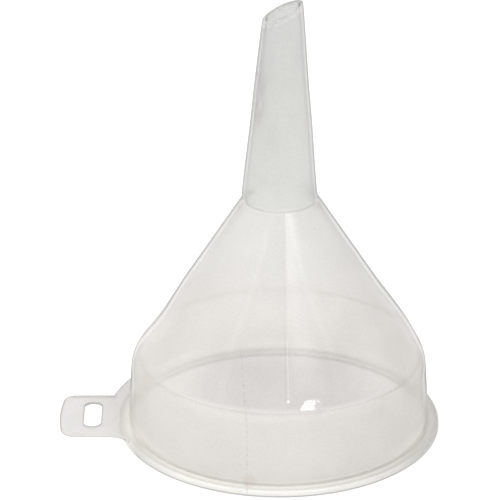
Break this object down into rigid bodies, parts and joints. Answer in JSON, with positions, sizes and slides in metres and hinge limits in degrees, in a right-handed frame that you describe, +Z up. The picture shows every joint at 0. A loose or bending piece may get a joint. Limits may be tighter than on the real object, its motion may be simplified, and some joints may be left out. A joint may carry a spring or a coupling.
{
  "type": "funnel",
  "caption": "Round household funnel of milky plastic with a straight collar, a long tapered spout with a slanted end, and a slotted hanging tab.",
  "frame": {"origin": "middle of the bounding box's floor, level with the flat underside of the rim, with the funnel standing mouth down", "axes": "+Z up the funnel's axis from the mouth to the spout's end; the hanging tab reaches out along -X; the spout's slanted end rises towards +X. The funnel's own axis is the vertical line at x = 0.01125, y = 0"},
  "size_m": [0.1424, 0.12, 0.1685],
  "materials": {
    "natural_plastic": "natural, undyed polypropylene: milky and see-through, satin gloss, brighter where the wall is thicker or seen edge on"
  },
  "bodies": {
    "root": {"rim": "natural_plastic", "collar": "natural_plastic", "cone": "natural_plastic", "spout": "natural_plastic", "hanging_tab": "natural_plastic"}
  },
  "joints": []
}
